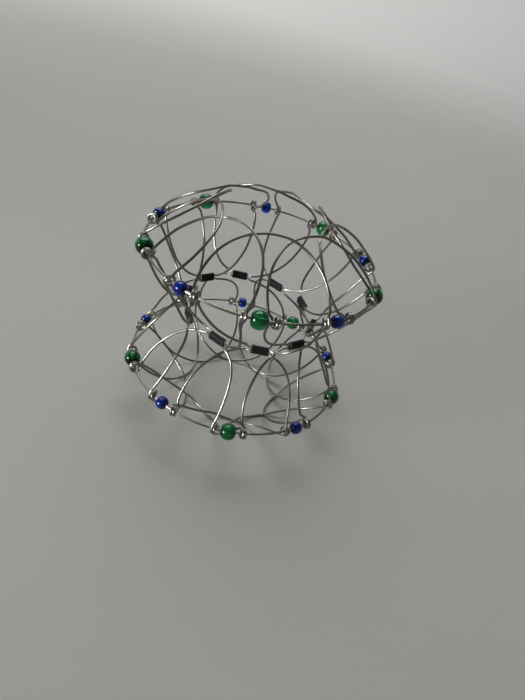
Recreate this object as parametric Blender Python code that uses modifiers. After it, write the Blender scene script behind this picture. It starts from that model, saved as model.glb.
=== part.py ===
"""Wire bead mandala, standing in its hourglass form.

Ten wire petals hang on an upper rim wire and ten more on a lower one. Each petal is one wire with two
eyes coiled round the rim: its waist arch reaches towards the middle of the toy, and its end arch leans
inwards past the rim. A short black sleeve ties each upper waist arch to the lower one below it. Glass
beads, green and blue in turn, sit on the rims between the eyes.

Units are metres, +Z is up, and the origin is on the ground at the centre of the toy.
"""

import math

import bpy
from mathutils import Vector

# Driving dimensions
PETALS = 10
WIRE_DIAMETER = 0.0008
RIM_RADIUS = 0.0370
RIM_SPACING = 0.0430
WAIST_SLOPE = math.radians(63.0)
END_SLOPE = math.radians(43.0)
END_ARCH_DEPTH = 0.0217
WAIST_LEAN = 0.0045
WAIST_FULLNESS = 2.4
END_FULLNESS = 2.0
FIRST_BEAD_ANGLE = math.radians(-90.0)

GREEN_BEAD_DIAMETER = 0.0055
GREEN_BEAD_LENGTH = 0.0047
BLUE_BEAD_DIAMETER = 0.0042
BLUE_BEAD_LENGTH = 0.0034
BEAD_END_LAND = 0.0003

SLEEVE_LENGTH = 0.0054
SLEEVE_WALL = 0.0004

# Clearances
BEAD_BORE_CLEARANCE = 0.00014
EYE_CLEARANCE = 0.0004
EYE_TURN_GAP = 0.00018
EYE_TO_BEAD_GAP = 0.0008
CROSSING_GAP = 0.0004
CROSSING_RAMP = 0.0018
END_CROSSING_RAMP = 0.0055
SLEEVE_BORE_CLEARANCE = 0.0002
SLEEVE_WIRE_GAP = 0.0002
WIRE_END_GAP = 0.0003
LEG_LENGTH = 0.0026

# Facets
WIRE_BEVEL_RESOLUTION = 1
RIM_SEGMENTS = 50
RIM_SIDES = 6
EYE_SEGMENTS_PER_TURN = 7
WAIST_STEPS = 4
END_STEPS = 13
BEAD_STEPS = 8
BEAD_PROFILE_STEPS = 4
SLEEVE_END_STEPS = 4
MERGE_DISTANCE = 0.00001

# Values that follow from the sizes above
WIRE_RADIUS = WIRE_DIAMETER / 2
PETAL_STEP = 2 * math.pi / PETALS
EYE_RADIUS = WIRE_DIAMETER + EYE_CLEARANCE
EYE_PITCH = WIRE_DIAMETER + EYE_TURN_GAP
CROSSING_OFFSET = WIRE_RADIUS + CROSSING_GAP
SLEEVE_WIRE_SPACING = WIRE_DIAMETER + SLEEVE_WIRE_GAP
LEGS_ANGLE = math.pi - WAIST_SLOPE - END_SLOPE
OUTER_EYE_SWEEP = -(2 * math.pi + LEGS_ANGLE)
INNER_EYE_SWEEP = 2 * math.pi - LEGS_ANGLE
OUTER_EYE_ADVANCE = EYE_PITCH * abs(OUTER_EYE_SWEEP) / (2 * math.pi)
INNER_EYE_ADVANCE = EYE_PITCH
EYE_FROM_BEAD_FACE = EYE_TO_BEAD_GAP + OUTER_EYE_ADVANCE / 2 + WIRE_RADIUS
LONGEST_BEAD = max(GREEN_BEAD_LENGTH, BLUE_BEAD_LENGTH)
EYE_ANGLE = PETAL_STEP - (LONGEST_BEAD / 2 + EYE_FROM_BEAD_FACE) / RIM_RADIUS
CHORD_RADIUS = RIM_RADIUS * math.cos(EYE_ANGLE)
HALF_CHORD = RIM_RADIUS * math.sin(EYE_ANGLE)
WAIST_DEPTH = (RIM_SPACING - SLEEVE_WIRE_SPACING) / 2 / math.sin(WAIST_SLOPE)
SLEEVE_RADIUS = CHORD_RADIUS - WAIST_DEPTH * math.cos(WAIST_SLOPE)

# Petal frame: X points away from the toy's axis, Y runs along the chord between the two eyes and Z is up
OUTWARD = Vector((1, 0, 0))
ALONG = Vector((0, 1, 0))
UP = Vector((0, 0, 1))


def smooth_step(start, end, value):
    """Rise smoothly from 0 at start to 1 at end."""
    share = min(max((value - start) / (end - start), 0.0), 1.0)
    return share * share * (3 - 2 * share)


def arch_point(turn, widths, depth, fullness, slope, straight, ramp, lean):
    """One point of an arch: turn goes from 0 at the right eye, over the apex, to pi at the left eye.

    A positive slope rises from the rim. Lean moves the apex along the chord. The right half of the arch
    passes outside the neighbouring petal and the left half inside it, so that the petals overlap like a
    rosette. By a sleeve the halves part level, which keeps them clear of the other petal in it.
    """
    reach = math.cos(turn)
    from_apex = reach * (widths[0] if reach > 0 else widths[1]) - lean * reach ** 2
    down = depth * math.sqrt(max(0.0, 1 - abs(reach) ** fullness))
    direction = -OUTWARD * math.cos(slope) + UP * math.sin(slope)
    square = OUTWARD * abs(math.sin(slope)) + UP * math.copysign(math.cos(slope), slope)
    parting = OUTWARD / abs(math.sin(slope)) if straight else square
    by_apex = parting * CROSSING_OFFSET * smooth_step(straight, straight + ramp, abs(from_apex))
    layer = by_apex.lerp(square * EYE_RADIUS, smooth_step(0.5, 1.0, abs(reach)))
    return ALONG * (lean + from_apex) + direction * down + layer * math.copysign(1, reach)


def leg_turn(depth, fullness):
    """The turn at which an arch starts, one leg's length from the rim."""
    return math.acos((1 - (LEG_LENGTH / depth) ** 2) ** (1 / fullness))


def turn_from_apex(distance, width, lean):
    """The turn at which an arch is a signed distance along the chord from its apex."""
    return math.acos(2 * distance / (width + math.sqrt(width ** 2 - 4 * lean * distance)))


def even_steps(start, end, count):
    """Values from start to end, both included, in count steps."""
    return [start + (end - start) * step / count for step in range(count + 1)]


def half_widths(side):
    """Right and left half widths of an arch; side is -1 for the waist arch and 1 for the end arch."""
    shift = side * math.cos(EYE_ANGLE) / 2
    return HALF_CHORD + shift * OUTER_EYE_ADVANCE, HALF_CHORD + shift * INNER_EYE_ADVANCE


def waist_half(right):
    """Points of the waist arch from its middle, inside the sleeve, to one eye."""
    widths = half_widths(-1)
    width = widths[0] if right else widths[1]
    side = 1 if right else -1
    straight = SLEEVE_LENGTH / 2
    stops = [WIRE_END_GAP / 2, straight, straight + CROSSING_RAMP]
    turns = [turn_from_apex(side * stop, width, WAIST_LEAN) for stop in stops]
    last = leg_turn(WAIST_DEPTH, WAIST_FULLNESS)
    turns += even_steps(turns[-1], last if right else math.pi - last, WAIST_STEPS)[1:]
    sizes = (widths, WAIST_DEPTH, WAIST_FULLNESS, -WAIST_SLOPE, straight, CROSSING_RAMP, WAIST_LEAN)
    return [arch_point(turn, *sizes) for turn in turns]


def end_arch():
    """Points of the end arch from the right eye to the left one."""
    first = leg_turn(END_ARCH_DEPTH, END_FULLNESS)
    sizes = (half_widths(1), END_ARCH_DEPTH, END_FULLNESS, END_SLOPE, 0.0, END_CROSSING_RAMP, 0.0)
    return [arch_point(turn, *sizes) for turn in even_steps(first, math.pi - first, END_STEPS)]


def eye_points(right):
    """Points of one eye, coiled round the rim wire from the waist leg to the end leg."""
    side = 1 if right else -1
    centre = ALONG * HALF_CHORD * side
    inward = Vector((-math.cos(EYE_ANGLE), -math.sin(EYE_ANGLE) * side, 0))
    towards_bead = Vector((-math.sin(EYE_ANGLE), math.cos(EYE_ANGLE) * side, 0))
    sweep = OUTER_EYE_SWEEP if right else INNER_EYE_SWEEP
    advance = OUTER_EYE_ADVANCE if right else INNER_EYE_ADVANCE
    first = -WAIST_SLOPE - side * math.pi / 2
    count = math.ceil(abs(sweep) / (2 * math.pi) * EYE_SEGMENTS_PER_TURN)
    radius = EYE_RADIUS / math.cos(sweep / count / 2)
    points = []
    for share in even_steps(0.0, 1.0, count):
        angle = first + sweep * share
        spoke = inward * math.cos(angle) + UP * math.sin(angle)
        points.append(centre + spoke * radius + towards_bead * advance * (share - 0.5))
    return points


def petal_points():
    """The wire of an upper petal, from one end to the other, both ends inside the sleeve."""
    right = waist_half(True) + eye_points(True)
    left = waist_half(False) + eye_points(False)
    return right + end_arch() + left[::-1]


PETAL_POINTS = petal_points()
LOWER_RIM_HEIGHT = max(point.z for point in PETAL_POINTS) + WIRE_RADIUS
UPPER_RIM_HEIGHT = LOWER_RIM_HEIGHT + RIM_SPACING
WAIST_HEIGHT = LOWER_RIM_HEIGHT + RIM_SPACING / 2


def clear_scene():
    """Remove every object, so that the script can be run again."""
    for item in list(bpy.data.objects):
        bpy.data.objects.remove(item, do_unlink=True)


def new_collection(name):
    """A collection in the scene, made anew."""
    old = bpy.data.collections.get(name)
    if old:
        bpy.data.collections.remove(old)
    collection = bpy.data.collections.new(name)
    bpy.context.scene.collection.children.link(collection)
    return collection


def material(name, colour, roughness, metallic, transmission=0.0):
    """A plain Principled material."""
    result = bpy.data.materials.get(name) or bpy.data.materials.new(name)
    result.use_nodes = True
    shader = next(node for node in result.node_tree.nodes if node.type == "BSDF_PRINCIPLED")
    shader.inputs["Base Color"].default_value = (*colour, 1.0)
    shader.inputs["Roughness"].default_value = roughness
    shader.inputs["Metallic"].default_value = metallic
    shader.inputs["Transmission Weight"].default_value = transmission
    return result


def on_circle(radius, angle, height, along=0.0):
    """A point at an angle round the toy's axis, moved along the circle's tangent."""
    across = Vector((-math.sin(angle), math.cos(angle), 0)) * along
    return Vector((radius * math.cos(angle), radius * math.sin(angle), height)) + across


def bead_angle(index):
    """The angle of a bead, and of the middle of the petals that share its number."""
    return FIRST_BEAD_ANGLE + PETAL_STEP * index


def add_object(collection, name, data, finish, location, rotation, parent):
    """Place one piece of the toy under its parent."""
    if not data.materials:
        data.materials.append(finish)
    item = bpy.data.objects.new(name, data)
    collection.objects.link(item)
    item.parent = parent
    item.location = location
    item.rotation_euler = rotation
    return item


def add_empty(collection, name, location, parent=None):
    """A point that pieces hang from."""
    item = bpy.data.objects.new(name, None)
    collection.objects.link(item)
    item.parent = parent
    item.location = location
    return item


def wire_curve(name, points):
    """A round wire along the points, closed by caps."""
    curve = bpy.data.curves.new(name, "CURVE")
    curve.dimensions = "3D"
    curve.bevel_depth = WIRE_RADIUS
    curve.bevel_resolution = WIRE_BEVEL_RESOLUTION
    curve.use_fill_caps = True
    spline = curve.splines.new("POLY")
    spline.points.add(len(points) - 1)
    for target, point in zip(spline.points, points):
        target.co = (*point, 1.0)
    return curve


def mirrored(points):
    """The same points turned upside down."""
    return [Vector((point.x, point.y, -point.z)) for point in points]


def rounded_slot(radius, spacing):
    """Outline of a slot that hangs from its first centre, with straight sides down to its second centre."""
    corner = radius / math.cos(math.pi / SLEEVE_END_STEPS / 2)
    outline = []
    for centre, start in ((0.0, 0.0), (-spacing, math.pi)):
        for angle in even_steps(start, start + math.pi, SLEEVE_END_STEPS):
            outline.append((corner * math.cos(angle), centre + corner * math.sin(angle)))
    return outline


def sleeve_curve():
    """The sleeve: a flat-sided tube with room for two wires, one above the other."""
    bore = WIRE_RADIUS + SLEEVE_BORE_CLEARANCE
    curve = bpy.data.curves.new("sleeve", "CURVE")
    curve.dimensions = "2D"
    curve.fill_mode = "BOTH"
    curve.extrude = SLEEVE_LENGTH / 2
    for radius in (bore + SLEEVE_WALL, bore):
        outline = rounded_slot(radius, SLEEVE_WIRE_SPACING)
        spline = curve.splines.new("POLY")
        spline.points.add(len(outline) - 1)
        for target, (across, height) in zip(spline.points, outline):
            target.co = (across, height, 0.0, 1.0)
        spline.use_cyclic_u = True
    return curve


def bead_mesh(name, diameter, length):
    """Profile of a seed bead: round sides, a narrow land at each end and a bore for the rim wire."""
    bore = (WIRE_RADIUS + BEAD_BORE_CLEARANCE) / math.cos(math.pi / BEAD_STEPS)
    land = bore + BEAD_END_LAND
    profile = []
    for angle in even_steps(math.pi / 2, -math.pi / 2, BEAD_PROFILE_STEPS):
        radius = land + (diameter / 2 - land) * math.cos(angle)
        profile.append((radius, 0.0, length / 2 * math.sin(angle)))
    profile += [(bore, 0.0, -length / 2), (bore, 0.0, length / 2)]
    edges = [(index, (index + 1) % len(profile)) for index in range(len(profile))]
    mesh = bpy.data.meshes.new(name)
    mesh.from_pydata(profile, edges, [])
    return mesh


def turn_profile(item):
    """Turn a bead's profile round its bore."""
    screw = item.modifiers.new("turn", "SCREW")
    screw.axis = "Z"
    screw.angle = 2 * math.pi
    screw.steps = BEAD_STEPS
    screw.render_steps = BEAD_STEPS
    screw.use_merge_vertices = True
    screw.merge_threshold = MERGE_DISTANCE
    screw.use_smooth_shade = True


def add_rim(collection, name, finish, height, parent):
    """A rim wire: a closed ring that carries the beads and the petals' eyes."""
    bpy.ops.mesh.primitive_torus_add(major_segments=RIM_SEGMENTS, minor_segments=RIM_SIDES,
                                     major_radius=RIM_RADIUS, minor_radius=WIRE_RADIUS)
    rim = bpy.context.object
    rim.name = name
    rim.data.name = name
    rim.data.materials.append(finish)
    rim.data.shade_smooth()
    for owner in list(rim.users_collection):
        owner.objects.unlink(rim)
    collection.objects.link(rim)
    rim.parent = parent
    rim.location = Vector((0, 0, height)) - (parent.location if parent else Vector())
    return rim


def add_petals(collection, prefix, points, finish, height):
    """Ten petals round one rim, each turning on the chord between its eyes."""
    curve = wire_curve(prefix, points)
    for index in range(PETALS):
        angle = bead_angle(index)
        place = on_circle(CHORD_RADIUS, angle, height)
        add_object(collection, f"{prefix}_{index + 1:02d}", curve, finish, place, (0, 0, angle), None)


def add_sleeves(collection, finish):
    """Ten sleeves, each hanging on the upper wire that it holds."""
    curve = sleeve_curve()
    for index in range(PETALS):
        angle = bead_angle(index)
        place = on_circle(SLEEVE_RADIUS, angle, WAIST_HEIGHT + SLEEVE_WIRE_SPACING / 2, WAIST_LEAN)
        name = f"sleeve_{index + 1:02d}"
        add_object(collection, name, curve, finish, place, (math.pi / 2, 0, angle), None)


def add_beads(collection, prefix, kinds, height, parent):
    """Ten beads on one rim, the kinds in turn, each turning on the wire."""
    base = parent.location if parent else Vector()
    for index in range(PETALS):
        mesh, finish = kinds[index % len(kinds)]
        angle = bead_angle(index)
        place = on_circle(RIM_RADIUS, angle, height) - base
        name = f"{prefix}_bead_{index + 1:02d}"
        bead = add_object(collection, name, mesh, finish, place, (math.pi / 2, 0, angle), parent)
        turn_profile(bead)


def build():
    """Make every piece of the toy."""
    clear_scene()
    collection = new_collection("wire_bead_mandala")
    steel = material("wire_steel", (0.42, 0.40, 0.36), 0.28, 1.0)
    green = material("green_glass", (0.01, 0.22, 0.07), 0.08, 0.0, 0.6)
    blue = material("blue_glass", (0.01, 0.02, 0.30), 0.10, 0.0, 0.3)
    black = material("sleeve_black", (0.015, 0.017, 0.018), 0.5, 0.0)
    kinds = [
        (bead_mesh("green_bead", GREEN_BEAD_DIAMETER, GREEN_BEAD_LENGTH), green),
        (bead_mesh("blue_bead", BLUE_BEAD_DIAMETER, BLUE_BEAD_LENGTH), blue),
    ]
    pivot_place = on_circle(CHORD_RADIUS, bead_angle(0), UPPER_RIM_HEIGHT)
    pivot = add_empty(collection, "upper_rim_pivot", pivot_place)
    add_rim(collection, "lower_rim", steel, LOWER_RIM_HEIGHT, None)
    add_rim(collection, "upper_rim", steel, UPPER_RIM_HEIGHT, pivot)
    add_petals(collection, "lower_petal", mirrored(PETAL_POINTS), steel, LOWER_RIM_HEIGHT)
    add_petals(collection, "upper_petal", PETAL_POINTS, steel, UPPER_RIM_HEIGHT)
    add_sleeves(collection, black)
    add_beads(collection, "lower", kinds, LOWER_RIM_HEIGHT, None)
    add_beads(collection, "upper", kinds, UPPER_RIM_HEIGHT, pivot)


build()
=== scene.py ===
import math
import random

import bpy
import numpy as np
from mathutils import Matrix, Vector


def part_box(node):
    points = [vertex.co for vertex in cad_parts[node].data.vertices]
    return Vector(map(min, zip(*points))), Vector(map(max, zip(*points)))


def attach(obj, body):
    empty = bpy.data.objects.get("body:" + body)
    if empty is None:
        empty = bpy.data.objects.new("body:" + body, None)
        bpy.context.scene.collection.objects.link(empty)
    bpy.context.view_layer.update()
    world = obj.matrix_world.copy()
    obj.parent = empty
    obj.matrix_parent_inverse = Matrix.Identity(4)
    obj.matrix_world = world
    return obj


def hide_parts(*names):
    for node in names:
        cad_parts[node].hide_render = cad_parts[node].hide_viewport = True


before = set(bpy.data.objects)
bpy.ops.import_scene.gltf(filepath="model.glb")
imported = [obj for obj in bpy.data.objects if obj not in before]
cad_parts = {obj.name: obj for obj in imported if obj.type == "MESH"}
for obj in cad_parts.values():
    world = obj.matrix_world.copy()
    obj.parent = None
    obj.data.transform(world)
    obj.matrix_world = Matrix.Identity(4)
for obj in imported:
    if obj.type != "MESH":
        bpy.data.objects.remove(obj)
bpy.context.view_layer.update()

# Sizes of the wires in metres. They are those of the solids, except that the eyes are looser here
# and that the inner eye has a second turn, wound closer
PETALS = 10
WIRE_RADIUS = 0.0004
RIM_RADIUS = 0.0370
RIM_SPACING = 0.0430
WAIST_SLOPE = math.radians(63.0)
END_SLOPE = math.radians(43.0)
END_ARCH_DEPTH = 0.0217
WAIST_LEAN = 0.0045
WAIST_FULLNESS = 2.4
END_FULLNESS = 2.0
EYE_RADIUS = 0.00145
EYE_PITCH = 0.00098
INNER_EYE_PITCH = 0.00090
EYE_TO_BEAD_GAP = 0.0008
CROSSING_OFFSET = 0.0008
EYE_LAYER_START = 0.5
CROSSING_RAMP = 0.0018
END_CROSSING_RAMP = 0.0055
WIRE_END_GAP = 0.0003
LEG_LENGTH = 0.0026

# Beads: diameter and length of each kind, the bore and its eased edge, how far from round they are, and
# how sharply the painted shade at their ends sets in
GREEN_BEAD = (0.0055, 0.0047)
BLUE_BEAD = (0.0042, 0.0034)
FIRST_BEAD_ANGLE = math.radians(-90.0)
BEAD_BORE_RADIUS = 0.00054
BEAD_END_LAND = 0.0003
BEAD_EDGE = 0.00011
BEAD_FULLNESS = 0.92
BEAD_WIDTHS = (0.975, 0.995)
BEAD_LOBES = (2, 3)
BEAD_LOBE_DEPTHS = (0.002, 0.006)
BEAD_END_SHARPNESS = 3

# Sleeves: the tube, its eased lips, how it draws in at its middle and between its wires, and how far
# its cuts slant
SLEEVE_LENGTH = 0.0054
SLEEVE_WALL = 0.0004
SLEEVE_BORE_RADIUS = 0.0006
SLEEVE_WIRE_SPACING = 0.0010
SLEEVE_LIP = 0.00009
SLEEVE_SQUEEZE = 0.00005
SLEEVE_RIPPLE = 0.00001
SLEEVE_RIPPLE_TURN = 9.0
SLEEVE_PINCH = 0.00009
SLEEVE_SLANT = 0.00003

# How an eye sits on the rim: tilted, off its middle, a little back from the bead, and with a straight
# lead to each leg
EYE_TILT = math.radians(17.0)
EYE_TILT_SHARES = (0.6, 1.0)
EYE_SAG = 0.00010
EYE_SAG_SHARES = (0.3, 1.0)
EYE_BACK = 0.00015
EYE_LEAD = 0.0015

# How a hand-bent wire strays from its true line in waves, and where it is held and rubbed instead
STRAY = 0.00006
STRAY_WAVES = (0.011, 0.017, 0.027)
LAST_PHASE = 6.28
HELD_BY_SLEEVE = 0.0045
HELD_FAST = 0.625
HELD_EASE = 12
HELD_EASE_ROUNDS = 3
RIM_RUBBED = 0.0042
RIM_UNRUBBED = 0.0062

# Fineness of the meshes
WIRE_SIDES = 14
PATH_STEP = 0.00015
PATH_SOFTNESS = 0.00026
SOFTNESS_REACH = 4
RING_TURN = math.radians(6.0)
RING_SPACING = 0.0013
WAIST_STEPS = 120
END_STEPS = 200
EYE_STEPS = 90
RIM_STEPS = 480
BEAD_STEPS = 56
BEAD_PROFILE_STEPS = 30
BEAD_EDGE_STEPS = 5
SLEEVE_STEPS = 16
SLEEVE_BORE_STEPS = 6
SLEEVE_LIP_STEPS = 4
SLEEVE_ROUND_STEPS = 12
SLEEVE_FLANK_STEPS = 5

# Sizes that follow from the ones above
PETAL_STEP = 2 * math.pi / PETALS
LEGS_ANGLE = math.pi - WAIST_SLOPE - END_SLOPE
OUTER_EYE_SWEEP = -(2 * math.pi + LEGS_ANGLE)
INNER_EYE_SWEEP = 4 * math.pi - LEGS_ANGLE
OUTER_EYE_ADVANCE = EYE_PITCH * abs(OUTER_EYE_SWEEP) / (2 * math.pi)
INNER_EYE_ADVANCE = INNER_EYE_PITCH * INNER_EYE_SWEEP / (2 * math.pi)
OUTER_EYE_NEAR = OUTER_EYE_ADVANCE / 2
INNER_EYE_NEAR = (INNER_EYE_ADVANCE - INNER_EYE_PITCH) / 2
EYE_FROM_BEAD_FACE = EYE_TO_BEAD_GAP + OUTER_EYE_ADVANCE / 2 + WIRE_RADIUS
EYE_ANGLE = PETAL_STEP - (GREEN_BEAD[1] / 2 + EYE_FROM_BEAD_FACE) / RIM_RADIUS
CHORD_RADIUS = RIM_RADIUS * math.cos(EYE_ANGLE)
HALF_CHORD = RIM_RADIUS * math.sin(EYE_ANGLE)
WAIST_DEPTH = (RIM_SPACING - SLEEVE_WIRE_SPACING) / 2 / math.sin(WAIST_SLOPE)
SLEEVE_RADIUS = CHORD_RADIUS - WAIST_DEPTH * math.cos(WAIST_SLOPE)
LOWER_RIM_HEIGHT = sum(corner[2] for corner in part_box("lower_rim")) / 2
WAIST_HEIGHT = LOWER_RIM_HEIGHT + RIM_SPACING / 2
RIM_HEIGHTS = (("lower", LOWER_RIM_HEIGHT), ("upper", LOWER_RIM_HEIGHT + RIM_SPACING))

OUTWARD = Vector((1, 0, 0))
ALONG = Vector((0, 1, 0))
UP = Vector((0, 0, 1))
MILLIMETRES_IN_METRE = 1000

# Colours of the finishes
CLEAN_STEEL = (0.39, 0.39, 0.35)
TARNISHED_STEEL = (0.20, 0.20, 0.165)
STEEL_LINES = (0.16, 0.16, 0.13)
RUBBED_STEEL = (0.55, 0.555, 0.53)
STEEL_SPOTS = (0.13, 0.12, 0.09)
GREEN_GLASS = {"clear": (0.008, 0.28, 0.065), "deep": (0.002, 0.10, 0.022), "sheen": (0.5, 0.7, 0.58)}
BLUE_GLASS = {"clear": (0.003, 0.043, 0.47), "deep": (0.001, 0.013, 0.20), "sheen": (0.5, 0.6, 0.8)}
# Share of the deep colour left at the bead ends: painted shade for the dark look of the glass there
BEAD_END_PAINTED_SHADE = 0.06
SLEEVE_SKIN = (0.0012, 0.0022, 0.0024)
SLEEVE_DRAW_LINES = (0.004, 0.006, 0.0065)
SLEEVE_SCUFFS = (0.012, 0.016, 0.016)
# Painted highlight on the sleeve lips
SLEEVE_LIP_HIGHLIGHT = (0.16, 0.17, 0.165)
FLOOR_DARK = (0.375, 0.37, 0.355)
FLOOR_PALE = (0.41, 0.405, 0.39)
# Colour that the far floor and wall are painted towards: painted light
PAINTED_BACKDROP_LIGHT = (0.74, 0.74, 0.725)
ROOM_GREY = (0.11, 0.11, 0.111)

# How rough the glass is where it is clean and where it is rubbed
GLASS_ROUGHNESS = 0.03
RUBBED_GLASS_ROUGHNESS = 0.25

# Floor: flat out to a radius, then swept up into a wall, and the distances over which painted light
# makes it paler
FLOOR_HEIGHT = -0.00012
FLOOR_FIRST_RING = 0.4
FLOOR_FLAT_RADIUS = 1.3
FLOOR_SWEEP_RADIUS = 1.0
WALL_TOP = 1.7
FLOOR_SWEEP_STEPS = 20
FLOOR_SIDES = 72
BACKDROP_START = 0.6
BACKDROP_END = 2.3

# Camera: its place is from the middle of the waist, and it is then turned round the toy's axis
SENSOR_HEIGHT = 24.0
LENS_PER_SENSOR_HEIGHT = 526.0 / 700.0
NEAREST_SEEN = 0.005
FARTHEST_SEEN = 20.0
CAMERA_PLACE = Vector((0.00838, -0.15036, 0.09752))
CAMERA_TURN = math.radians(-8.38)
CAMERA_LOOK_DOWN = math.radians(36.79)
CAMERA_ROLL = math.radians(16.56)


def smooth_step(start, end, value):
    """Rise smoothly from 0 at start to 1 at end."""
    share = min(max((value - start) / (end - start), 0.0), 1.0)
    return share * share * (3 - 2 * share)


def even_steps(start, end, count):
    """Values from start to end, both included, in count steps."""
    return [start + (end - start) * step / count for step in range(count + 1)]


def bead_angle(index):
    """The angle of a bead, and of the middle of the petals that share its number."""
    return FIRST_BEAD_ANGLE + PETAL_STEP * index


def on_circle(radius, angle, height, along=0.0):
    """A point at an angle round the toy's axis, moved along the circle's tangent."""
    across = Vector((-math.sin(angle), math.cos(angle), 0)) * along
    return Vector((radius * math.cos(angle), radius * math.sin(angle), height)) + across


# Paths of the wires


def arch_point(turn, widths, depth, fullness, slope, straight, ramp, lean):
    """One point of an arch, from the right eye over the apex to the left eye."""
    reach = math.cos(turn)
    from_apex = reach * (widths[0] if reach > 0 else widths[1]) - lean * reach ** 2
    down = depth * math.sqrt(max(0.0, 1 - abs(reach) ** fullness))
    direction = -OUTWARD * math.cos(slope) + UP * math.sin(slope)
    square = OUTWARD * abs(math.sin(slope)) + UP * math.copysign(math.cos(slope), slope)
    parting = OUTWARD / abs(math.sin(slope)) if straight else square
    by_apex = parting * CROSSING_OFFSET * smooth_step(straight, straight + ramp, abs(from_apex))
    layer = by_apex.lerp(square * EYE_RADIUS, smooth_step(EYE_LAYER_START, 1.0, abs(reach)))
    return ALONG * (lean + from_apex) + direction * down + layer * math.copysign(1, reach)


def leg_turn(depth, fullness):
    """The turn at which an arch starts, one leg's length from the rim."""
    return math.acos((1 - (LEG_LENGTH / depth) ** 2) ** (1 / fullness))


def turn_from_apex(distance, width, lean):
    """The turn at which an arch is a signed distance along the chord from its apex."""
    return math.acos(2 * distance / (width + math.sqrt(width ** 2 - 4 * lean * distance)))


def half_widths(side):
    """Right and left half widths of an arch; side is -1 for the waist arch and 1 for the end arch."""
    outer = OUTER_EYE_NEAR if side > 0 else OUTER_EYE_NEAR - OUTER_EYE_ADVANCE
    inner = INNER_EYE_NEAR if side > 0 else INNER_EYE_NEAR - INNER_EYE_ADVANCE
    return HALF_CHORD + outer * math.cos(EYE_ANGLE), HALF_CHORD + inner * math.cos(EYE_ANGLE)


def waist_half(right):
    """Points of the waist arch from its middle, inside the sleeve, to one eye."""
    widths = half_widths(-1)
    side = 1 if right else -1
    first = turn_from_apex(side * WIRE_END_GAP / 2, widths[0] if right else widths[1], WAIST_LEAN)
    last = leg_turn(WAIST_DEPTH, WAIST_FULLNESS)
    turns = even_steps(first, last if right else math.pi - last, WAIST_STEPS)
    straight = SLEEVE_LENGTH / 2
    sizes = (widths, WAIST_DEPTH, WAIST_FULLNESS, -WAIST_SLOPE, straight, CROSSING_RAMP, WAIST_LEAN)
    return [arch_point(turn, *sizes) for turn in turns]


def end_arch():
    """Points of the end arch from the right eye to the left one."""
    first = leg_turn(END_ARCH_DEPTH, END_FULLNESS)
    sizes = (half_widths(1), END_ARCH_DEPTH, END_FULLNESS, END_SLOPE, 0.0, END_CROSSING_RAMP, 0.0)
    return [arch_point(turn, *sizes) for turn in even_steps(first, math.pi - first, END_STEPS)]


def eye_points(right, seed):
    """Points of one eye, coiled round the rim from the waist leg to the end leg, and a little askew."""
    dice = random.Random(seed)
    side = 1 if right else -1
    inward = Vector((-math.cos(EYE_ANGLE), -math.sin(EYE_ANGLE) * side, 0))
    towards_bead = Vector((-math.sin(EYE_ANGLE), math.cos(EYE_ANGLE) * side, 0))
    sweep = OUTER_EYE_SWEEP if right else INNER_EYE_SWEEP
    advance = OUTER_EYE_ADVANCE if right else INNER_EYE_ADVANCE
    near = OUTER_EYE_NEAR if right else INNER_EYE_NEAR
    first = -WAIST_SLOPE - side * math.pi / 2
    lean = dice.uniform(0, 2 * math.pi)
    hinge = inward * math.cos(lean) + UP * math.sin(lean)
    tilt = Matrix.Rotation(EYE_TILT * dice.uniform(*EYE_TILT_SHARES), 3, hinge)
    drop = dice.uniform(0, 2 * math.pi)
    sag = (inward * math.cos(drop) + UP * math.sin(drop)) * EYE_SAG * dice.uniform(*EYE_SAG_SHARES)
    centre = ALONG * HALF_CHORD * side + sag - towards_bead * EYE_BACK
    coil = []
    for share in even_steps(0.0, 1.0, EYE_STEPS):
        angle = first + sweep * share
        spoke = inward * math.cos(angle) + UP * math.sin(angle)
        coil.append(spoke * EYE_RADIUS + towards_bead * (near - advance * (1 - share)))
    ways = [UP * math.cos(angle) - inward * math.sin(angle) for angle in (first, first + sweep)]
    leads = [way * math.copysign(EYE_LEAD, sweep) for way in ways]
    coil = [coil[0] - leads[0]] + coil + [coil[-1] + leads[1]]
    return [centre + tilt @ point for point in coil]


def petal_runs(seed):
    """The wire of an upper petal as five runs: waist, eye, end arch, eye, waist."""
    right_eye = eye_points(True, seed + " outer eye")
    left_eye = eye_points(False, seed + " inner eye")
    return [waist_half(True), right_eye, end_arch(), left_eye[::-1], waist_half(False)[::-1]]


def run_lengths(points):
    """Distance of each point along the path."""
    steps = np.linalg.norm(np.diff(points, axis=0), axis=1)
    return np.concatenate([[0.0], np.cumsum(steps)])


def spaced(points, marks):
    """Points at even steps along the path, with their marks and their distances along it."""
    at = run_lengths(points)
    count = int(at[-1] / PATH_STEP)
    wanted = np.linspace(0.0, at[-1], count + 1)
    even = np.stack([np.interp(wanted, at, points[:, axis]) for axis in range(3)], axis=1)
    return even, np.interp(wanted, at, marks), wanted


def softened(points):
    """Ease the path's corners as a bending tool does, with both ends kept."""
    reach = int(SOFTNESS_REACH * PATH_SOFTNESS / PATH_STEP)
    offsets = np.arange(-reach, reach + 1)
    weights = np.exp(-0.5 * (offsets * PATH_STEP / PATH_SOFTNESS) ** 2)
    weights /= weights.sum()
    before = 2 * points[0] - points[reach:0:-1]
    after = 2 * points[-1] - points[-2:-reach - 2:-1]
    padded = np.concatenate([before, points, after])
    return sum(weight * padded[index:index + len(points)] for index, weight in enumerate(weights))


def stray_of(at, freedom, seed):
    """Small seeded waves of a hand-bent wire, in metres, where the wire is free to stray."""
    dice = random.Random(seed)
    stray = np.zeros((len(at), 3))
    for wave in STRAY_WAVES:
        way = np.array([dice.gauss(0, 1) for axis in range(3)])
        way /= np.linalg.norm(way)
        phase = dice.uniform(0, LAST_PHASE)
        stray += np.outer(np.sin(2 * math.pi * at / wave + phase), way)
    return stray * (STRAY * freedom)[:, None]


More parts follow.
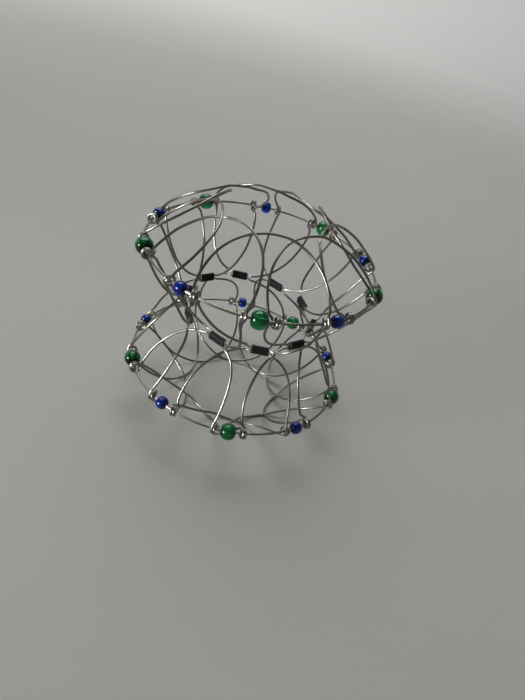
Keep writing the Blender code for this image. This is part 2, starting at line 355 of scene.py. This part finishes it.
def petal_path(mirror, seed):
    """The smooth path of one petal wire, with a mark from 0 at free arches to 1 at eyes and sleeve."""
    runs = petal_runs(seed)
    points = np.array([list(point) for run in runs for point in run])
    held = np.concatenate([np.full(len(run), mark) for run, mark in zip(runs, (0, 1, 0, 1, 0))])
    points, held, at = spaced(points, held)
    points = softened(points)
    from_end = np.minimum(at, at[-1] - at)
    held = np.maximum(held, (from_end < SLEEVE_LENGTH / 2 + HELD_BY_SLEEVE).astype(float))
    width = 2 * HELD_EASE + 1
    window = np.full(width, 1 / width)
    for ease in range(HELD_EASE_ROUNDS):
        held = np.convolve(np.pad(held, HELD_EASE, mode="edge"), window, mode="valid")
    freedom = (1 - np.clip(held / HELD_FAST, 0, 1)) ** 2
    points = points + stray_of(at, freedom, seed)
    if mirror:
        points[:, 2] *= -1
    return points, held


def ring_places(points):
    """Indices of the path where the tube gets a ring: close together in bends, far apart on straights."""
    ways = np.diff(points, axis=0)
    ways /= np.linalg.norm(ways, axis=1)[:, None]
    turns = np.arccos(np.clip((ways[1:] * ways[:-1]).sum(axis=1), -1, 1))
    places = [0]
    turned = 0.0
    for index in range(1, len(points) - 1):
        turned += turns[index - 1]
        if turned > RING_TURN or (index - places[-1]) * PATH_STEP > RING_SPACING:
            places.append(index)
            turned = 0.0
    return places + [len(points) - 1]


# Meshes


def add_vectors(mesh, name, values):
    """Keep one vector at each point of a mesh for its finish."""
    layer = mesh.attributes.new(name, "FLOAT_VECTOR", "POINT")
    layer.data.foreach_set("vector", np.array(values, dtype=np.float32).ravel())


def add_numbers(mesh, name, values):
    """Keep one number at each point of a mesh for its finish."""
    layer = mesh.attributes.new(name, "FLOAT", "POINT")
    layer.data.foreach_set("value", np.array(values, dtype=np.float32).ravel())


def ring_faces(count, size, closed):
    """Faces that join each ring of points to the next one, and the last to the first if closed."""
    faces = []
    for index in range(count if closed else count - 1):
        first = index * size
        second = (index + 1) % count * size
        for corner in range(size):
            following = (corner + 1) % size
            faces.append((first + corner, first + following, second + following, second + corner))
    return faces


def tube_mesh(name, points, rubbed, closed):
    """A round wire along the points; its finish reads the attributes grain and rubbed."""
    count = len(points)
    ahead = np.roll(points, -1, axis=0) - np.roll(points, 1, axis=0)
    if not closed:
        ahead[0] = points[1] - points[0]
        ahead[-1] = points[-1] - points[-2]
    ahead /= np.linalg.norm(ahead, axis=1)[:, None]
    side = np.cross(ahead[0], UP)
    if np.linalg.norm(side) < 0.1:
        side = np.cross(ahead[0], OUTWARD)
    at = run_lengths(points)
    angles = 2 * math.pi * np.arange(WIRE_SIDES) / WIRE_SIDES
    vertices = []
    grain = []
    for index in range(count):
        side = side - ahead[index] * np.dot(side, ahead[index])
        side /= np.linalg.norm(side)
        across = np.cross(ahead[index], side)
        along = min(at[index], at[-1] - at[index]) if closed else at[index]
        for angle in angles:
            spoke = side * math.cos(angle) + across * math.sin(angle)
            vertices.append(tuple(points[index] + WIRE_RADIUS * spoke))
            grain.append((math.cos(angle), math.sin(angle), along * MILLIMETRES_IN_METRE))
    faces = ring_faces(count, WIRE_SIDES, closed)
    flat = []
    if not closed:
        flat = [len(faces), len(faces) + 1]
        faces.append(tuple(range(WIRE_SIDES - 1, -1, -1)))
        faces.append(tuple(range((count - 1) * WIRE_SIDES, count * WIRE_SIDES)))
    mesh = bpy.data.meshes.new(name)
    mesh.from_pydata(vertices, [], faces)
    mesh.shade_smooth()
    for face in flat:
        mesh.polygons[face].use_smooth = False
    add_vectors(mesh, "grain", grain)
    add_numbers(mesh, "rubbed", np.repeat(rubbed, WIRE_SIDES))
    return mesh


def petal_mesh(name, mirror, seed):
    """One petal wire."""
    points, held = petal_path(mirror, seed)
    places = ring_places(points)
    return tube_mesh(name, points[places], held[places], False)


def rim_mesh(name):
    """One closed rim wire, rubbed bright where the eyes and the beads sit."""
    points = []
    rubbed = []
    for index in range(RIM_STEPS):
        angle = 2 * math.pi * index / RIM_STEPS
        points.append(list(on_circle(RIM_RADIUS, angle, 0.0)))
        from_bead = abs((angle - FIRST_BEAD_ANGLE + PETAL_STEP / 2) % PETAL_STEP - PETAL_STEP / 2)
        rubbed.append(1 - smooth_step(RIM_RUBBED, RIM_UNRUBBED, from_bead * RIM_RADIUS))
    return tube_mesh(name, np.array(points), np.array(rubbed), True)


def ring_shell(name, rings):
    """A closed shell from rings of points: each ring joins the next, and the last joins the first."""
    mesh = bpy.data.meshes.new(name)
    vertices = [point for ring in rings for point in ring]
    mesh.from_pydata(vertices, [], ring_faces(len(rings), len(rings[0]), True))
    mesh.shade_smooth()
    return mesh


def bead_profile(size):
    """Half section of a bead: round sides, a narrow land at each end and a bore with eased edges."""
    diameter, length = size
    land = BEAD_BORE_RADIUS + BEAD_END_LAND
    profile = []
    for angle in even_steps(-math.pi / 2, math.pi / 2, BEAD_PROFILE_STEPS):
        bulge = max(math.cos(angle), 0.0) ** BEAD_FULLNESS
        profile.append((land + (diameter / 2 - land) * bulge, length / 2 * math.sin(angle)))
    edge_radius = BEAD_BORE_RADIUS + BEAD_EDGE
    edge_height = length / 2 - BEAD_EDGE
    for start, height in ((math.pi / 2, edge_height), (math.pi, -edge_height)):
        for angle in even_steps(start, start + math.pi / 2, BEAD_EDGE_STEPS):
            radius = edge_radius + BEAD_EDGE * math.cos(angle)
            profile.append((radius, height + BEAD_EDGE * math.sin(angle)))
    return profile


def bead_mesh(name, size, seed):
    """A seed bead, a little out of round, with a mark at its ends for their painted shade."""
    diameter, length = size
    dice = random.Random(seed)
    profile = bead_profile(size)
    waves = [(lobe, dice.uniform(*BEAD_LOBE_DEPTHS), dice.uniform(0, LAST_PHASE)) for lobe in BEAD_LOBES]
    width = dice.uniform(*BEAD_WIDTHS)
    rings = []
    for step in range(BEAD_STEPS):
        turn = -2 * math.pi * step / BEAD_STEPS
        uneven = width + sum(depth * math.sin(lobe * turn + phase) for lobe, depth, phase in waves)
        ring = []
        for radius, height in profile:
            share = (radius - BEAD_BORE_RADIUS) / (diameter / 2 - BEAD_BORE_RADIUS)
            wide = radius * (1 + (uneven - 1) * max(share, 0.0))
            ring.append((wide * math.cos(turn), wide * math.sin(turn), height))
        rings.append(ring)
    mesh = ring_shell(name, rings)
    # Mark the ends, which the glass finish darkens as painted shade
    ends = [min(abs(vertex.co.z) / (length / 2), 1.0) ** BEAD_END_SHARPNESS for vertex in mesh.vertices]
    add_numbers(mesh, "bead_end_shade_mark", ends)
    return mesh


def slot_outline(radius, pinch):
    """Outline of a slot round two wires, one above the other, drawn in between them by the pinch."""
    outline = []
    half = SLEEVE_WIRE_SPACING / 2
    for centre, start in ((half, 0.0), (-half, math.pi)):
        for angle in even_steps(start, start + math.pi, SLEEVE_ROUND_STEPS):
            outline.append((radius * math.cos(angle), centre + radius * math.sin(angle)))
        for share in even_steps(0.0, 1.0, SLEEVE_FLANK_STEPS)[1:-1]:
            side = -1 if centre > 0 else 1
            width = radius - pinch * math.sin(math.pi * share)
            outline.append((side * width, centre - 2 * centre * share))
    return outline


def sleeve_stations(seed):
    """Place, radius and lip mark of each ring of a sleeve: outside, one end, bore, the other end."""
    outer = SLEEVE_BORE_RADIUS + SLEEVE_WALL
    reach = SLEEVE_LENGTH / 2 - SLEEVE_LIP
    outside = []
    for share in even_steps(-1.0, 1.0, SLEEVE_STEPS):
        squeeze = SLEEVE_SQUEEZE * math.cos(math.pi * share / 2)
        ripple = SLEEVE_RIPPLE * math.sin(SLEEVE_RIPPLE_TURN * share + seed)
        outside.append((share * reach, outer - (squeeze + ripple), 0.0))
    lips = []
    for angle in even_steps(0.0, math.pi / 2, SLEEVE_LIP_STEPS)[1:]:
        radius = outer - SLEEVE_LIP + SLEEVE_LIP * math.cos(angle)
        lips.append((reach + SLEEVE_LIP * math.sin(angle), radius, 1.0))
    for angle in even_steps(0.0, math.pi / 2, SLEEVE_LIP_STEPS):
        radius = SLEEVE_BORE_RADIUS + SLEEVE_LIP - SLEEVE_LIP * math.sin(angle)
        lips.append((reach + SLEEVE_LIP * math.cos(angle), radius, 1.0))
    shares = even_steps(1.0, -1.0, SLEEVE_BORE_STEPS)[1:-1]
    bore = [(share * reach, SLEEVE_BORE_RADIUS, 0.0) for share in shares]
    other_lips = [(-place, radius, mark) for place, radius, mark in reversed(lips)]
    return outside + lips + bore + other_lips


def sleeve_mesh(name, seed):
    """A short cut length of tube round two wires, with eased lips; lip marks the cut edges."""
    slant = random.Random(seed).uniform(-SLEEVE_SLANT, SLEEVE_SLANT)
    outer = SLEEVE_BORE_RADIUS + SLEEVE_WALL
    middle_of_wall = SLEEVE_BORE_RADIUS + SLEEVE_WALL / 2
    rings = []
    marks = []
    for place, radius, mark in sleeve_stations(seed):
        outline = slot_outline(radius, SLEEVE_PINCH if radius > middle_of_wall else 0.0)
        shift = slant * mark * math.copysign(1, place)
        rings.append([(across, height, place + shift * across / outer) for across, height in outline])
        marks += [mark] * len(outline)
    mesh = ring_shell(name, rings)
    add_numbers(mesh, "lip", marks)
    return mesh


# Finishes


def new_group(name, inputs, outputs):
    """An empty shader node group with named sockets."""
    group = bpy.data.node_groups.new(name, "ShaderNodeTree")
    for title, kind in inputs:
        group.interface.new_socket(title, in_out="INPUT", socket_type=kind)
    for title, kind in outputs:
        group.interface.new_socket(title, in_out="OUTPUT", socket_type=kind)
    return group, group.nodes.new("NodeGroupInput"), group.nodes.new("NodeGroupOutput")


def add_node(tree, kind, values=None, **settings):
    """A node with its settings and the values of its unlinked sockets."""
    node = tree.nodes.new(kind)
    for title, setting in settings.items():
        setattr(node, title, setting)
    for title, value in (values or {}).items():
        node.inputs[title].default_value = value
    return node


def fine_wear_group():
    """Speckled wear: Mask rises up to Amount in small worn spots."""
    group, given, result = new_group("fine_wear", [
        ("Place", "NodeSocketVector"), ("Scale", "NodeSocketFloat"), ("Amount", "NodeSocketFloat"),
    ], [("Mask", "NodeSocketFloat")])
    broad = add_node(group, "ShaderNodeTexNoise", {"Detail": 4.0, "Roughness": 0.62, "Distortion": 0.3})
    small = add_node(group, "ShaderNodeTexNoise", {"Detail": 2.0, "Roughness": 0.5})
    closer = add_node(group, "ShaderNodeMath", {1: 4.3}, operation="MULTIPLY")
    both = add_node(group, "ShaderNodeMath", operation="MULTIPLY")
    ramp = add_node(group, "ShaderNodeMapRange", {"From Min": 0.10, "From Max": 0.30})
    ramp.interpolation_type = "SMOOTHSTEP"
    link = group.links.new
    link(given.outputs["Place"], broad.inputs["Vector"])
    link(given.outputs["Scale"], broad.inputs["Scale"])
    link(given.outputs["Place"], small.inputs["Vector"])
    link(given.outputs["Scale"], closer.inputs[0])
    link(closer.outputs[0], small.inputs["Scale"])
    link(broad.outputs["Fac"], both.inputs[0])
    link(small.outputs["Fac"], both.inputs[1])
    link(given.outputs["Amount"], ramp.inputs["To Max"])
    link(both.outputs[0], ramp.inputs["Value"])
    link(ramp.outputs["Result"], result.inputs["Mask"])
    return group


def glass_streaks_group():
    """Drawn glass: Streak swirls along the bead's bore, and Height dimples its skin."""
    group, given, result = new_group("glass_streaks", [
        ("Place", "NodeSocketVector"), ("Scale", "NodeSocketFloat"),
    ], [("Streak", "NodeSocketFloat"), ("Height", "NodeSocketFloat")])
    stretch = add_node(group, "ShaderNodeMapping", {"Scale": (1.0, 1.0, 0.28)})
    swirl = add_node(group, "ShaderNodeTexNoise", {"Detail": 3.0, "Roughness": 0.55, "Distortion": 1.4})
    dimple = add_node(group, "ShaderNodeTexNoise", {"Detail": 1.0, "Roughness": 0.4})
    wide = add_node(group, "ShaderNodeMath", {1: 0.45}, operation="MULTIPLY")
    ramp = add_node(group, "ShaderNodeMapRange", {"From Min": 0.36, "From Max": 0.66})
    ramp.interpolation_type = "SMOOTHSTEP"
    link = group.links.new
    link(given.outputs["Place"], stretch.inputs["Vector"])
    link(stretch.outputs["Vector"], swirl.inputs["Vector"])
    link(given.outputs["Scale"], swirl.inputs["Scale"])
    link(given.outputs["Place"], dimple.inputs["Vector"])
    link(given.outputs["Scale"], wide.inputs[0])
    link(wide.outputs[0], dimple.inputs["Scale"])
    link(swirl.outputs["Fac"], ramp.inputs["Value"])
    link(ramp.outputs["Result"], result.inputs["Streak"])
    link(dimple.outputs["Fac"], result.inputs["Height"])
    return group


def new_finish(name, shader_values):
    """A material with a Principled shader, ready for its details."""
    finish = bpy.data.materials.new(name)
    finish.use_nodes = True
    tree = finish.node_tree
    shader = next(node for node in tree.nodes if node.type == "BSDF_PRINCIPLED")
    for title, value in shader_values.items():
        shader.inputs[title].default_value = value
    return finish, tree, shader


def use_group(tree, group, values):
    """One placing of a shared group, with its own values."""
    node = tree.nodes.new("ShaderNodeGroup")
    node.node_tree = group
    for title, value in values.items():
        node.inputs[title].default_value = value
    return node


def colour_sockets(sockets):
    """The sockets of a mixing node that carry colours."""
    return [socket for socket in sockets if socket.type == "RGBA"]


def mixed(tree, share, first, second):
    """A colour between two, by a share that changes over the surface; either may be a socket."""
    node = add_node(tree, "ShaderNodeMix", data_type="RGBA")
    tree.links.new(share, node.inputs["Factor"])
    for socket, colour in zip(colour_sockets(node.inputs), (first, second)):
        if isinstance(colour, bpy.types.NodeSocket):
            tree.links.new(colour, socket)
        else:
            socket.default_value = (*colour, 1.0)
    return colour_sockets(node.outputs)[0]


def ranged(tree, share, low, high, start=0.0, end=1.0):
    """A number from low to high as the share goes from start to end."""
    values = {"From Min": start, "From Max": end, "To Min": low, "To Max": high}
    node = add_node(tree, "ShaderNodeMapRange", values)
    tree.links.new(share, node.inputs["Value"])
    return node.outputs["Result"]


def added(tree, first, second):
    """The sum of two numbers that change over the surface."""
    node = add_node(tree, "ShaderNodeMath", operation="ADD")
    tree.links.new(first, node.inputs[0])
    tree.links.new(second, node.inputs[1])
    return node.outputs[0]


def add_bump(tree, shader, height, strength, distance):
    """Bump the shader's skin by a height that changes over the surface."""
    bump = add_node(tree, "ShaderNodeBump", {"Strength": strength, "Distance": distance})
    tree.links.new(height, bump.inputs["Height"])
    tree.links.new(bump.outputs["Normal"], shader.inputs["Normal"])


def steel_finish(wear):
    """Dull drawn wire: fine lines along it, darker tarnish, and bright metal where it rubs."""
    finish, tree, shader = new_finish("drawn_steel", {"Metallic": 1.0})
    link = tree.links.new
    grain = add_node(tree, "ShaderNodeAttribute", attribute_name="grain")
    rubbed = add_node(tree, "ShaderNodeAttribute", attribute_name="rubbed")
    stretch = add_node(tree, "ShaderNodeMapping", {"Scale": (5.0, 5.0, 0.35)})
    lines = add_node(tree, "ShaderNodeTexNoise", {"Scale": 2.4, "Detail": 4.0, "Roughness": 0.6})
    patch_place = add_node(tree, "ShaderNodeMapping", {"Scale": (0.7, 0.7, 0.22)})
    patches = add_node(tree, "ShaderNodeTexNoise", {"Scale": 1.3, "Detail": 5.0, "Roughness": 0.6})
    spots = use_group(tree, wear, {"Scale": 1.6, "Amount": 0.76})
    link(grain.outputs["Vector"], stretch.inputs["Vector"])
    link(stretch.outputs["Vector"], lines.inputs["Vector"])
    link(grain.outputs["Vector"], patch_place.inputs["Vector"])
    link(patch_place.outputs["Vector"], patches.inputs["Vector"])
    link(grain.outputs["Vector"], spots.inputs["Place"])
    tarnish = ranged(tree, patches.outputs["Fac"], low=0.0, high=1.0, start=0.40, end=0.68)
    lining = ranged(tree, lines.outputs["Fac"], low=0.0, high=0.55, start=0.35, end=0.75)
    rubbing = ranged(tree, rubbed.outputs["Fac"], low=0.0, high=0.55)
    colour = mixed(tree, tarnish, CLEAN_STEEL, TARNISHED_STEEL)
    colour = mixed(tree, lining, colour, STEEL_LINES)
    colour = mixed(tree, rubbing, colour, RUBBED_STEEL)
    colour = mixed(tree, spots.outputs["Mask"], colour, STEEL_SPOTS)
    link(colour, shader.inputs["Base Color"])
    lined = ranged(tree, lines.outputs["Fac"], low=0.10, high=0.26, start=0.3, end=0.75)
    spotted = ranged(tree, spots.outputs["Mask"], low=0.0, high=0.2)
    link(added(tree, lined, spotted), shader.inputs["Roughness"])
    add_bump(tree, shader, lines.outputs["Fac"], strength=0.16, distance=0.00004)
    return finish


def glass_finish(name, wear, streaks, clear, deep, sheen):
    """Coloured bead glass: deeper streaks along the bore, painted shade at the ends, soft dimples and rub
    marks.
    """
    finish, tree, shader = new_finish(name, {
        "Metallic": 0.0, "IOR": 1.5, "Transmission Weight": 0.8, "Specular Tint": (*sheen, 1.0),
        "Coat Weight": 0.15, "Coat Roughness": 0.03,
    })
    link = tree.links.new
    place = add_node(tree, "ShaderNodeTexCoord")
    ends = add_node(tree, "ShaderNodeAttribute", attribute_name="bead_end_shade_mark")
    drawn = use_group(tree, streaks, {"Scale": 620.0})
    rubs = use_group(tree, wear, {"Scale": 900.0, "Amount": 0.56})
    link(place.outputs["Object"], drawn.inputs["Place"])
    link(place.outputs["Object"], rubs.inputs["Place"])
    end_shade = ranged(tree, ends.outputs["Fac"], low=0.0, high=1.0, start=0.1, end=0.8)
    colour = mixed(tree, drawn.outputs["Streak"], clear, deep)
    # Painted shade: the ends darken towards a near-black of the deep colour
    colour = mixed(tree, end_shade, colour, tuple(channel * BEAD_END_PAINTED_SHADE for channel in deep))
    link(colour, shader.inputs["Base Color"])
    rough = ranged(tree, rubs.outputs["Mask"], low=GLASS_ROUGHNESS, high=RUBBED_GLASS_ROUGHNESS)
    link(rough, shader.inputs["Roughness"])
    add_bump(tree, shader, drawn.outputs["Height"], strength=0.10, distance=0.00012)
    return finish


def sleeve_finish(wear):
    """Black satin tube: faint lengthwise draw, scuffs, and a painted highlight on the cut edges."""
    finish, tree, shader = new_finish("black_sleeve", {"Metallic": 0.0, "Specular IOR Level": 0.10})
    link = tree.links.new
    place = add_node(tree, "ShaderNodeTexCoord")
    lip = add_node(tree, "ShaderNodeAttribute", attribute_name="lip")
    stretch = add_node(tree, "ShaderNodeMapping", {"Scale": (1.0, 1.0, 0.12)})
    draw = add_node(tree, "ShaderNodeTexNoise", {"Scale": 2600.0, "Detail": 3.0, "Roughness": 0.6})
    scuffs = use_group(tree, wear, {"Scale": 760.0, "Amount": 0.71})
    link(place.outputs["Object"], stretch.inputs["Vector"])
    link(stretch.outputs["Vector"], draw.inputs["Vector"])
    link(place.outputs["Object"], scuffs.inputs["Place"])
    # The cut edges are painted paler: a painted highlight for the glint on the lips
    cut = ranged(tree, lip.outputs["Fac"], low=0.0, high=0.7)
    colour = mixed(tree, draw.outputs["Fac"], SLEEVE_SKIN, SLEEVE_DRAW_LINES)
    colour = mixed(tree, scuffs.outputs["Mask"], colour, SLEEVE_SCUFFS)
    colour = mixed(tree, cut, colour, SLEEVE_LIP_HIGHLIGHT)
    link(colour, shader.inputs["Base Color"])
    drawn = ranged(tree, draw.outputs["Fac"], low=0.32, high=0.48)
    scuffed = ranged(tree, scuffs.outputs["Mask"], low=0.0, high=0.2)
    link(added(tree, drawn, scuffed), shader.inputs["Roughness"])
    add_bump(tree, shader, draw.outputs["Fac"], strength=0.2, distance=0.00005)
    return finish


def floor_finish():
    """Plain pale floor, faintly mottled, with painted light that makes it paler towards the wall it
    sweeps up into.
    """
    finish, tree, shader = new_finish("pale_floor", {"Specular IOR Level": 0.2, "Roughness": 0.9})
    link = tree.links.new
    place = add_node(tree, "ShaderNodeTexCoord")
    mottle = add_node(tree, "ShaderNodeTexNoise", {"Scale": 9.0, "Detail": 4.0, "Roughness": 0.6})
    away = add_node(tree, "ShaderNodeVectorMath", operation="LENGTH")
    link(place.outputs["Object"], mottle.inputs["Vector"])
    link(place.outputs["Object"], away.inputs[0])
    distance = away.outputs["Value"]
    # Painted light: the floor's colour pales with distance so that the far floor and wall look lit
    painted_light_share = ranged(tree, distance, low=0.0, high=1.0, start=BACKDROP_START, end=BACKDROP_END)
    colour = mixed(tree, mottle.outputs["Fac"], FLOOR_DARK, FLOOR_PALE)
    colour = mixed(tree, painted_light_share, colour, PAINTED_BACKDROP_LIGHT)
    link(colour, shader.inputs["Base Color"])
    return finish


# Pieces


def add_piece(mesh, finish, place, rotation, node):
    """Put one piece in its place, on the body of the solid that it stands for."""
    mesh.materials.append(finish)
    piece = bpy.data.objects.new(mesh.name, mesh)
    bpy.context.scene.collection.objects.link(piece)
    piece.location = place
    piece.rotation_euler = rotation
    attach(piece, node)
    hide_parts(node)


def numbered_angles():
    """The number and the angle of each place round the toy, in order."""
    return [(f"{index + 1:02d}", bead_angle(index)) for index in range(PETALS)]


def dress_rims(steel):
    """Both rim wires."""
    for part, height in RIM_HEIGHTS:
        mesh = rim_mesh(f"{part}_rim_wire")
        add_piece(mesh, steel, (0, 0, height), (0, 0, 0), f"{part}_rim")


def dress_petals(steel):
    """Ten petal wires on each rim, no two bent quite alike."""
    for part, height in RIM_HEIGHTS:
        for number, angle in numbered_angles():
            mesh = petal_mesh(f"{part}_petal_wire_{number}", part == "lower", f"{part} {number}")
            place = on_circle(CHORD_RADIUS, angle, height)
            add_piece(mesh, steel, place, (0, 0, angle), f"{part}_petal_{number}")


def dress_sleeves(black):
    """Ten sleeves round the waist."""
    for index, (number, angle) in enumerate(numbered_angles()):
        mesh = sleeve_mesh(f"black_tube_{number}", index)
        place = on_circle(SLEEVE_RADIUS, angle, WAIST_HEIGHT, WAIST_LEAN)
        add_piece(mesh, black, place, (math.pi / 2, 0, angle), f"sleeve_{number}")


def dress_beads(green, blue):
    """Ten beads on each rim, green and blue in turn."""
    kinds = (("green", green, GREEN_BEAD), ("blue", blue, BLUE_BEAD))
    for part, height in RIM_HEIGHTS:
        for index, (number, angle) in enumerate(numbered_angles()):
            colour, finish, size = kinds[index % 2]
            mesh = bead_mesh(f"{part}_{colour}_glass_{number}", size, f"{part} {number}")
            place = on_circle(RIM_RADIUS, angle, height)
            rotation = (math.pi / 2, 0, angle)
            add_piece(mesh, finish, place, rotation, f"{part}_bead_{number}")


# Stage


def add_floor():
    """A pale round floor that sweeps up on every side. It keeps below the toy as the toy folds."""
    profile = [(FLOOR_FIRST_RING, FLOOR_HEIGHT), (FLOOR_FLAT_RADIUS, FLOOR_HEIGHT)]
    for angle in even_steps(0.0, math.pi / 2, FLOOR_SWEEP_STEPS)[1:]:
        radius = FLOOR_FLAT_RADIUS + FLOOR_SWEEP_RADIUS * math.sin(angle)
        profile.append((radius, FLOOR_HEIGHT + FLOOR_SWEEP_RADIUS - FLOOR_SWEEP_RADIUS * math.cos(angle)))
    profile.append((FLOOR_FLAT_RADIUS + FLOOR_SWEEP_RADIUS, WALL_TOP))
    vertices = [(0.0, 0.0, FLOOR_HEIGHT)]
    for radius, height in profile:
        for step in range(FLOOR_SIDES):
            turn = 2 * math.pi * step / FLOOR_SIDES
            vertices.append((radius * math.cos(turn), radius * math.sin(turn), height))
    faces = [(0, 1 + step, 1 + (step + 1) % FLOOR_SIDES) for step in range(FLOOR_SIDES)]
    for ring in range(len(profile) - 1):
        first = 1 + ring * FLOOR_SIDES
        second = first + FLOOR_SIDES
        for step in range(FLOOR_SIDES):
            following = (step + 1) % FLOOR_SIDES
            faces.append((first + step, second + step, second + following, first + following))
    mesh = bpy.data.meshes.new("floor")
    mesh.from_pydata(vertices, [], faces)
    mesh.shade_smooth()
    mesh.materials.append(floor_finish())
    floor = bpy.data.objects.new("floor", mesh)
    bpy.context.scene.collection.objects.link(floor)
    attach(floor, "upper_rim")


def add_light(name, place, target, size, power, colour, spread=180.0):
    """A soft rectangular lamp that faces its target and spreads its light over so many degrees."""
    lamp = bpy.data.lights.new(name, "AREA")
    lamp.shape = "RECTANGLE"
    lamp.size, lamp.size_y = size
    lamp.spread = math.radians(spread)
    lamp.energy = power
    lamp.color = colour
    item = bpy.data.objects.new(name, lamp)
    item.visible_camera = False
    item.location = place
    item.rotation_euler = (Vector(target) - Vector(place)).to_track_quat("-Z", "Y").to_euler()
    bpy.context.scene.collection.objects.link(item)


def add_lights():
    """A window-like lamp at the front left, a broad lamp high up behind and a grey room."""
    add_light("window_lamp", place=(-0.80, -0.50, 0.13), target=(0.0, 0.0, WAIST_HEIGHT),
              size=(0.30, 0.22), power=0.62, colour=(0.99, 1.0, 0.985), spread=36.0)
    add_light("overhead_lamp", place=(-0.4, 1.1, 1.6), target=(-0.4, 1.1, 0.0),
              size=(1.6, 1.2), power=29.5, colour=(0.98, 1.0, 0.995))
    world = bpy.data.worlds.new("grey_room")
    world.use_nodes = True
    background = next(node for node in world.node_tree.nodes if node.type == "BACKGROUND")
    background.inputs["Color"].default_value = (*ROOM_GREY, 1.0)
    background.inputs["Strength"].default_value = 1.0
    bpy.context.scene.world = world


def add_camera():
    """The photograph's point of view: a wide lens close to the toy, tilted and rolled."""
    camera = bpy.data.cameras.new("camera")
    camera.sensor_fit = "VERTICAL"
    camera.sensor_height = SENSOR_HEIGHT
    camera.lens = SENSOR_HEIGHT * LENS_PER_SENSOR_HEIGHT
    camera.clip_start = NEAREST_SEEN
    camera.clip_end = FARTHEST_SEEN
    item = bpy.data.objects.new("camera", camera)
    bpy.context.scene.collection.objects.link(item)
    turn = Matrix.Rotation(CAMERA_TURN, 4, "Z")
    place = Matrix.Translation(CAMERA_PLACE + UP * WAIST_HEIGHT)
    tilt = Matrix.Rotation(math.pi / 2 - CAMERA_LOOK_DOWN, 4, "X")
    roll = Matrix.Rotation(CAMERA_ROLL, 4, "Z")
    item.matrix_world = turn @ place @ tilt @ roll
    bpy.context.scene.camera = item


add_camera()
add_lights()
add_floor()
WEAR = fine_wear_group()
STREAKS = glass_streaks_group()
STEEL = steel_finish(WEAR)
dress_rims(STEEL)
dress_petals(STEEL)
dress_sleeves(sleeve_finish(WEAR))
dress_beads(glass_finish("green_bead_glass", WEAR, STREAKS, **GREEN_GLASS),
            glass_finish("blue_bead_glass", WEAR, STREAKS, **BLUE_GLASS))

bpy.context.scene.view_settings.view_transform = "Standard"
